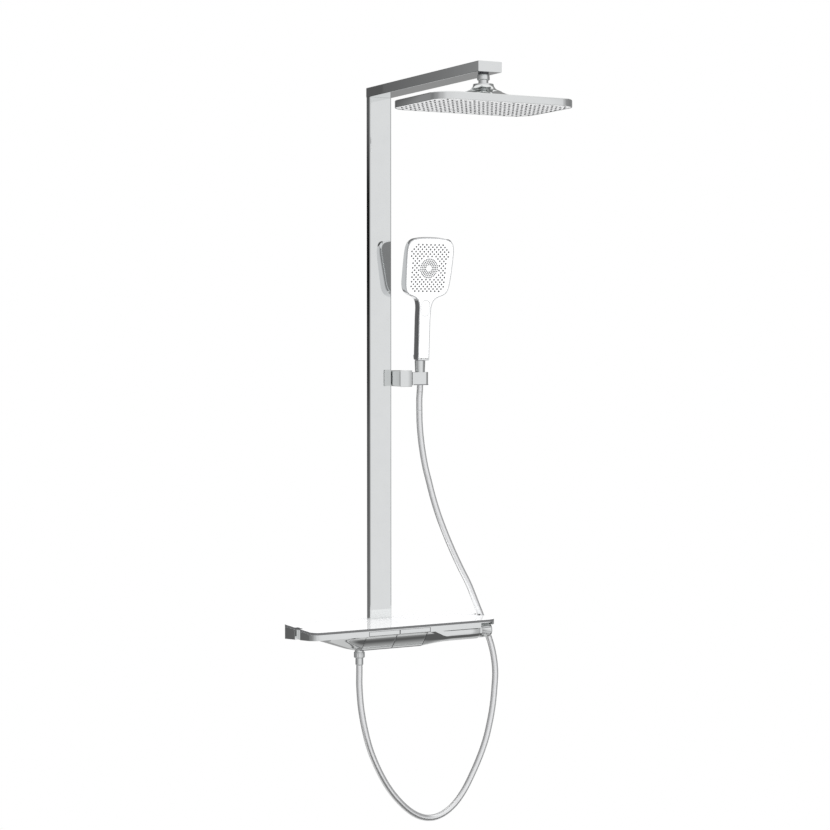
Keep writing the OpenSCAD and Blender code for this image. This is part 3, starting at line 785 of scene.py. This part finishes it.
nut = turned(
    "hose_nut_ribbed",
    [(0.0, 7.2), (0.0, 10.8), (0.5, 11.6), (1.3, 12.0), (2.6, 12.0), (3.0, 12.0), (10.4, 12.0),
     (10.8, 12.0), (11.8, 11.8), (12.4, 11.2), (12.6, 10.4), (12.6, 10.3)],
    (OUTLET_X, OUTLET_Y, -46.6), UPWARDS, "chrome", sides=144, flutes=18, flute_depth=0.6,
    flute_range=(3.0, 10.4))
smooth_by_angle(nut, 38.0)
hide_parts("hose_nut")
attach(nut, "frame")

sleeve = turned(
    "hose_sleeve_collar",
    [(0.0, 7.1), (0.0, 8.0), (0.5, 8.5), (1.2, 8.6), (14.0, 8.6), (15.2, 8.4), (15.9, 7.8),
     (15.9, 5.0)],
    (OUTLET_X, OUTLET_Y, -62.5), UPWARDS, "chrome")
smooth_by_angle(sleeve, 38.0)
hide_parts("hose_sleeve")
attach(sleeve, "frame")

collar = turned(
    "collar_nut_turned",
    [(0.0, 10.0), (0.0, 11.5), (0.3, 12.1), (1.6, 12.95), (2.2, 13.0), (9.2, 12.5),
     (10.2, 12.3), (10.9, 11.7), (11.0, 11.0), (11.0, 10.0)],
    (HEAD.x, HEAD.y, 1172.2), UPWARDS, "chrome")
smooth_by_angle(collar, 38.0)
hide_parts("collar_nut")
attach(collar, "frame")

# the dark seal ring under the arm, drawn tall enough that it also stands for the painted shadow
# under the arm
seal_and_shadow_ring = turned(
    "arm_seal_and_shadow_ring",
    [(0.0, 9.95), (0.0, 10.6), (0.2, 10.8), (2.7, 10.8), (2.95, 10.6), (2.95, 9.95)],
    (HEAD.x, HEAD.y, 1183.05), UPWARDS, "inner_plastic")
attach(seal_and_shadow_ring, "frame")

foot_seal = turned(
    "handle_seal_ring",
    [(0.0, 10.4), (0.0, 11.7), (0.1, 11.9), (0.7, 12.0), (0.7, 10.4)],
    (CX, CONE_Y, 602.0), UPWARDS, "inner_plastic")
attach(foot_seal, "handset")


# ------------------------------------------------------------------ slider
def rounded_block(name, low, high, radius, slot):
    """A box between two corners in millimetres, with every edge rounded."""
    bm = bmesh.new()
    bmesh.ops.create_cube(bm, size=1.0)
    for v in bm.verts:
        v.co = Vector([(a + b) / 2 + c * (b - a)
                       for a, b, c in zip(low, high, v.co)]) * MM
    bmesh.ops.bevel(bm, geom=bm.edges[:], offset=radius * MM, segments=4,
                    profile=0.5, affect="EDGES")
    for f in bm.faces:
        f.smooth = True
    mesh = bpy.data.meshes.new(name)
    bm.to_mesh(mesh)
    bm.free()
    obj = bpy.data.objects.new(name, mesh)
    collection.objects.link(obj)
    mesh.materials.append(MATERIALS[slot])
    return obj


SLIDER_X0, SLIDER_X1 = 27.6, 57.0
SLIDER_FOOT, SLIDER_TOP = 544.3, 580.9
block = rounded_block("slider_block", (SLIDER_X0, -61.6, SLIDER_FOOT + 0.6),
                      (SLIDER_X1, -6, SLIDER_TOP - 0.6), 2.8, "chrome")
front = rounded_block("slider_front_plate", (SLIDER_X0, -64.2, SLIDER_FOOT),
                      (SLIDER_X1, -62.3, SLIDER_TOP), 0.9, "chrome")
core = rounded_block("slider_shadow_joint", (28.9, -62.6, 545.8), (55.7, -61.3, 579.4), 0.3,
                     "inner_plastic")
for obj in (block, front, core):
    smooth_by_angle(obj, 50.0)
    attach(obj, "slider")
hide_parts("slider_body")
KEY_FOOT, KEY_TOP = 546.6, 578.6
neck = rounded_block("slider_rail_foot", (23.9, -14.7, KEY_FOOT), (30, -11.2, KEY_TOP), 0.4,
                     "chrome")
key = rounded_block("slider_rail_key", (20.6, -16.75, KEY_FOOT), (24.1, -9.15, KEY_TOP), 0.5,
                    "chrome")
for obj in (neck, key):
    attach(obj, "slider")

# a dark strip of painted shade along the holder block's lower front edge
holder_shade_strip = rounded_block("holder_painted_shade_strip", (60.5, -64.35, 548.3), (98, -63.9, 549.7), 0.15,
                       "inner_plastic")
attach(holder_shade_strip, "holder")


# ------------------------------------------------------------------ paddles
PADDLES = {"paddle_left": (-93.5, -18.5), "paddle_right": (-17.9, 57.1)}  # ends along X
# the paddle from the side: up its lip, over the grip's hollow, down the sloping face and back
PADDLE = [
    (-149.9, 16.6), (-150.0, 15.8), (-150.0, 8.4), (-149.6, 7.1), (-148.6, 6.4), (-141.4, 4.7),
    (-138.4, 3.9), (-135.9, 2.7), (-133.6, 1.0), (-131.4, -1.2), (-127.2, -7.5), (-122.6, -13.6),
    (-117.8, -19.4), (-112.6, -25.0), (-111.2, -26.5), (-109.4, -27.9), (-107.8, -28.6),
    (-106.7, -28.8), (-106.2, -27.9), (-106.3, -26.6), (-108.4, -25.5), (-110.4, -23.6),
    (-120.0, -11.3), (-129.4, 0.8), (-134.0, 4.4), (-140.0, 6.8), (-147.5, 9.0), (-147.5, 16.6),
]
PADDLE_ROUNDING = 0.35
PADDLE_CLEAR = 0.45
# distance from the end along X, and how much of the rounding the section is drawn in by
PADDLE_END = [(0.3, 0.5), (0.38, 0.2), (0.6, 0.03), (0.95, 0.0)]


def paddle_cap(name, x0, x1, source):
    """One press paddle: its section carried from end to end, with small rounded ends."""
    x0, x1 = x0 + PADDLE_CLEAR, x1 - PADDLE_CLEAR
    first = [(x0 + along, drawn_in) for along, drawn_in in PADDLE_END]
    inner = [(x0 + (x1 - x0) * k / 12, 0.0) for k in range(1, 12)]
    last = [(x1 - along, drawn_in) for along, drawn_in in reversed(PADDLE_END)]
    stations = first + inner + last
    verts = []
    for x, drawn_in in stations:
        for (y, z), before, after in zip(
                PADDLE, PADDLE[-1:] + PADDLE[:-1], PADDLE[1:] + PADDLE[:1]):
            out = Vector((0, before[1] - after[1], after[0] - before[0])).normalized()
            verts.append((Vector((x, y, z)) + out * PADDLE_ROUNDING * drawn_in) * MM)
    obj = new_object(name, verts, closed_faces(len(stations), len(PADDLE)), "chrome")
    smooth_by_angle(obj, 42.0)
    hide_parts(source)
    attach(obj, frame["nodes"][source]["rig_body"])


for node_name, (x0, x1) in PADDLES.items():
    paddle_cap(node_name + "_cap", x0, x1, node_name)

# a dark strip just below the paddles' lower front edge: a painted shadow line
paddle_shadow_strip = rounded_block("paddle_edge_painted_shadow", (-93.4, -106.3, -30.2), (57, -104.6, -28), 0.2,
                          "inner_plastic")
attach(paddle_shadow_strip, "frame")

# painted shade in the joints at the paddles' ends: dark strips that follow this line, just under
# the chrome
JOINT_HALF = 0.95
LIP = [(-149.3, 16.6), (-149.3, 7.8), (-141.0, 5.4), (-135.4, 3.3), (-131.0, -0.1),
       (-126.6, -7.0), (-122.1, -13.0), (-117.2, -18.9), (-112.0, -24.3), (-109.0, -27.0),
       (-106.4, -28.0)]
for index, middle in enumerate((-93.8, -18.2, 57.3)):
    verts = [Vector((middle + s * JOINT_HALF, y, z)) * MM for s in (-1, 1) for y, z in LIP]
    joint = new_object(
        "shadow_joint_%d" % (index + 1), verts, ring_faces(2, len(LIP), closed=False),
        "inner_plastic", smooth=False, materials=[PAINTED_GAP_SHADE])
    solid = joint.modifiers.new("wall", "SOLIDIFY")
    solid.thickness = 0.5 * MM
    apply_modifiers(joint)
    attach(joint, "frame")


# ------------------------------------------------------------------ hull under the shelf
# outline of the hull from the side, from its front top edge round to its back top edge
SIDE = [(-141.6, 6.0), (-138, 3.4), (-132.3, -0.4), (-122.9, -13.6), (-112.2, -25.5),
        (-110.4, -27.4), (-107.6, -29.0), (-102, -30.4), (-83, -31.9), (-66, -32.9),
        (-60, -31.8), (-52, -27.6), (-43, -20), (-34, -12), (-27, -5.5)]
BARREL_R = 18.3
BARREL_POINTS = 9  # the section's first points, which lie on the barrel at the right


def barrel_section():
    """The same number of points on the thermostat's round barrel, then back to the tray."""
    points = []
    for k in range(BARREL_POINTS):
        a = math.radians(152 + k * 22.0)
        points.append((THERMOSTAT_Y + BARREL_R * math.cos(a),
                       THERMOSTAT_Z + BARREL_R * math.sin(a)))
    points += [(-107.5, -5.8), (-97, -5.2), (-82, -4.6), (-66, -4.4), (-46, -5.0), (-27, -5.5)]
    return points


def ease(t):
    """From 0 to 1 with a level start and end."""
    t = min(1.0, max(0.0, t))
    return t * t * (3 - 2 * t)


# how deep the hull reaches at x, seen from the front
FLOOR_LINE = [(-188, 5.0), (-176, -1.4), (-160, -8.2), (-144, -15), (-128, -21.6),
              (-112, -28.0), (-102, -31.0), (-94, -32.6), (-86, -33.0)]
HULL_TOP, HULL_DEPTH = 6.0, 39.0  # its front top edge, and its full depth below that


def hull_section(x):
    """The hull at x: shallower towards the left bow, and turning into the barrel at the right."""
    front_turn = ease((x - 53.0) / 54.0)
    back_turn = ease((x - 80.0) / 32.0)  # later than the front, to cover the brass core
    rows = []
    for index, ((y0, z0), (y1, z1)) in enumerate(zip(SIDE, barrel_section())):
        turn = front_turn if index < BARREL_POINTS else back_turn
        rows.append((y0 + (y1 - y0) * turn, z0 + (z1 - z0) * turn))
    if x >= 0:
        return rows
    depth = min(1.0, max(0.0, (HULL_TOP - on_rows(FLOOR_LINE, x, 1)) / HULL_DEPTH))
    result = []
    for y, z in rows:
        top = 6.8 - (y + 141.6) * 0.0987  # just inside the tray's underside
        result.append((y, top + (z - top) * depth))
    return result


def dense(points):
    """More points of the section, on a smooth curve through it."""
    rows = curve_through([(0, y, z) for y, z in points], 3)
    return [(p.y / MM, p.z / MM) for p in rows]


def hull_part(name, stations, section):
    """A thin chrome skin through one open section at each station along X."""
    verts = [Vector((x, y, z)) * MM for x in stations for y, z in section(x)]
    size = len(verts) // len(stations)
    obj = new_object(name, verts, ring_faces(len(stations), size, closed=False), "chrome")
    solid = obj.modifiers.new("wall", "SOLIDIFY")
    solid.thickness = 1.6 * MM
    solid.offset = -1.0
    apply_modifiers(obj)
    smooth_by_angle(obj, 50.0)
    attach(obj, "frame")
    return obj


def full_section(x):
    return dense(hull_section(x))


def keel_section(x):
    """Only the part behind the paddles, from their lower edge to the back."""
    return [(y, z) for y, z in dense(SIDE) if y > -105.8]


bow_stations = ([-187.5 + 1.5 * k for k in range(8)] + [-174 + 3.0 * k for k in range(27)]
                + [-94.1])
fairing_stations = [57.4, 58.7] + [60 + 2.6 * k for k in range(20)] + [112.0]
bow = hull_part("hull_left_bow", bow_stations, full_section)
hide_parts("hull_cover")
hull_part("hull_right_fairing", fairing_stations, full_section)
hull_part("hull_keel", [-94.0, 57.3], keel_section)


# ------------------------------------------------------------------ studio
world = bpy.data.worlds.new("studio")
world.use_nodes = True
world.node_tree.nodes["Background"].inputs["Color"].default_value = (1, 1, 1, 1)
world.node_tree.nodes["Background"].inputs["Strength"].default_value = 1.0
scene.world = world


def glow(name):
    """A new material that only gives light: itself, its node tree and its coordinates."""
    material = bpy.data.materials.new(name)
    material.use_nodes = True
    tree = material.node_tree
    tree.nodes.clear()
    out = tree.nodes.new("ShaderNodeOutputMaterial")
    emission = tree.nodes.new("ShaderNodeEmission")
    coords = tree.nodes.new("ShaderNodeTexCoord")
    tree.links.new(emission.outputs["Emission"], out.inputs["Surface"])
    return material, tree, emission, coords.outputs["Object"]


def along_axis(tree, coords, axis, start, end, low=0.0, high=1.0):
    """Low at the start and high at the end of a stretch along one axis."""
    split = tree.nodes.new("ShaderNodeSeparateXYZ")
    spread = tree.nodes.new("ShaderNodeMapRange")
    spread.inputs["From Min"].default_value = start
    spread.inputs["From Max"].default_value = end
    spread.inputs["To Min"].default_value = low
    spread.inputs["To Max"].default_value = high
    tree.links.new(coords, split.inputs["Vector"])
    tree.links.new(split.outputs[axis], spread.inputs["Value"])
    return spread.outputs["Result"]


def glow_along(name, axis, start, end, low, high):
    """A light that goes evenly from low at the start to high at the end."""
    material, tree, emission, coords = glow(name)
    tree.links.new(along_axis(tree, coords, axis, start, end, low, high),
                   emission.inputs["Strength"])
    return material


def glow_stops(name, stops, low, high, upright=False):
    """A light with stops between low and high: degrees round the object, or heights."""
    material, tree, emission, coords = glow(name)
    ramp = tree.nodes.new("ShaderNodeValToRGB")
    ramp.color_ramp.interpolation = "EASE"
    while len(ramp.color_ramp.elements) < len(stops):
        ramp.color_ramp.elements.new(0.5)
    for element, (place_at, value) in zip(ramp.color_ramp.elements, stops):
        element.position = (place_at - low) / (high - low)
        element.color = (value, value, value * 1.01, 1)
    if upright:
        tree.links.new(along_axis(tree, coords, "Z", low, high), ramp.inputs["Fac"])
    else:
        around = tree.nodes.new("ShaderNodeTexGradient")
        around.gradient_type = "RADIAL"
        tree.links.new(coords, around.inputs["Vector"])
        tree.links.new(around.outputs["Fac"], ramp.inputs["Fac"])
    tree.links.new(ramp.outputs["Color"], emission.inputs["Color"])
    return material


def reflected(name, verts, faces, material, location=(0, 0, 0), turn=(0, 0, 0)):
    """A piece of the studio that is seen only in reflections."""
    mesh = bpy.data.meshes.new(name)
    mesh.from_pydata(verts, [], faces)
    mesh.materials.append(material)
    obj = bpy.data.objects.new(name, mesh)
    collection.objects.link(obj)
    obj.location = location
    obj.rotation_euler = turn
    obj.visible_camera = False
    obj.visible_diffuse = False
    obj.visible_shadow = False
    obj.visible_transmission = False


def panel(name, centre, width, height, light, facing):
    """An evenly lit sheet, standing and turned to face a point."""
    w, h = width / 2, height / 2
    direction = Vector(facing) - Vector(centre)
    reflected(name, [(-w, 0, -h), (w, 0, -h), (w, 0, h), (-w, 0, h)], [(0, 1, 2, 3)],
              glow_along(name, "Z", -h, h, light, light), centre,
              direction.to_track_quat("Y", "Z").to_euler())


def studio_wall(radius, low, high, stops):
    """A round wall of light about the object."""
    sides = 96
    verts = [(radius * math.cos(2 * math.pi * k / sides),
              radius * math.sin(2 * math.pi * k / sides), z)
             for z in (low, high) for k in range(sides)]
    reflected("studio_wall", verts, ring_faces(2, sides),
              glow_stops("studio_glow", stops, -180, 180))


# degrees round from +X, and the light there: pale in front and at the back right, else dark
studio_wall(5.0, -4.0, 5.0, [
    (-180, 0.34), (-150, 0.55), (-118, 0.80), (-60, 0.86), (-50, 0.56), (-33, 0.32),
    (0, 0.26), (35, 0.30), (52, 0.95), (75, 0.95), (92, 0.12), (117, 0.13),
    (119.5, 0.18), (124, 0.28), (150, 0.24), (180, 0.34)])
panel("panel_back_high", (1.25, 1.5, 1.8), 3.4, 2.6, 0.30, (0.35, 0, 1.8))
panel("panel_back_low", (1.25, 1.5, -1.0), 3.4, 2.0, 0.34, (0.35, 0, -1.0))

# the light from below gets weaker towards the room
UNDER_Z = -0.9
reflected("panel_under", [(-1, -1.1, UNDER_Z), (1.8, -1.1, UNDER_Z), (1.8, 1, UNDER_Z),
                          (-1, 1, UNDER_Z)],
          [(0, 1, 2, 3)], glow_along("panel_under", "Y", -0.24, 0.05, 0.12, 0.66))

# a narrow dark flag that the column's left side reflects, darkest at 0.84 to 1 m
FLAG_FOOT, FLAG_TOP = -0.2, 1.7
reflected("side_flag", [(-0.420, 0.685, FLAG_FOOT), (-0.350, 0.715, FLAG_FOOT),
                        (-0.350, 0.715, FLAG_TOP), (-0.420, 0.685, FLAG_TOP)],
          [(0, 1, 2, 3)], glow_stops(
              "side_flag", [(-0.1, 0.18), (0.35, 0.11), (0.6, 0.04), (0.84, 0.006),
                            (1.0, 0.006), (1.25, 0.11)], FLAG_FOOT, FLAG_TOP, upright=True))

floor_mesh = bpy.data.meshes.new("floor")
FLOOR_R, FLOOR_SIDES = 7.0, 64
rim_points = [(FLOOR_R * math.cos(2 * math.pi * k / FLOOR_SIDES),
               FLOOR_R * math.sin(2 * math.pi * k / FLOOR_SIDES), 0)
              for k in range(FLOOR_SIDES)]
floor_mesh.from_pydata(rim_points, [], [tuple(range(FLOOR_SIDES))])
floor = bpy.data.objects.new("floor", floor_mesh)
floor.location = (0, 0, -0.62)
collection.objects.link(floor)
floor_look = Nodes("floor")
floor_look.link(
    floor_look.ramp(floor_look.noise(3.0, 4.0), [(0.3, (0.93, 0.93, 0.93)),
                                                 (0.7, (0.95, 0.95, 0.95))]),
    floor_look.shader.inputs["Base Color"])
floor_look.shader.inputs["Roughness"].default_value = 0.9
floor_look.shader.inputs["Specular IOR Level"].default_value = 0.0
floor_look.shader.inputs["Emission Color"].default_value = (1, 1, 1, 1)
floor_look.shader.inputs["Emission Strength"].default_value = 0.16
floor_mesh.materials.append(floor_look.material)
floor.visible_glossy = False
floor.visible_camera = False


def lamp(name, place_at, size, power):
    """A soft round lamp that lights the object and isn't seen in reflections."""
    data = bpy.data.lights.new(name, "AREA")
    data.shape = "DISK"
    data.size = size
    data.energy = power
    obj = bpy.data.objects.new(name, data)
    obj.location = place_at
    obj.rotation_euler = (Vector((0, -0.2, 0.4)) - Vector(place_at)).to_track_quat(
        "-Z", "Y").to_euler()
    obj.visible_camera = False
    obj.visible_glossy = False
    collection.objects.link(obj)


lamp("lamp_key", (-1.6, -3.2, 2.6), 2.0, 26)
lamp("lamp_top", (0.6, -1.2, 3.4), 2.4, 34)
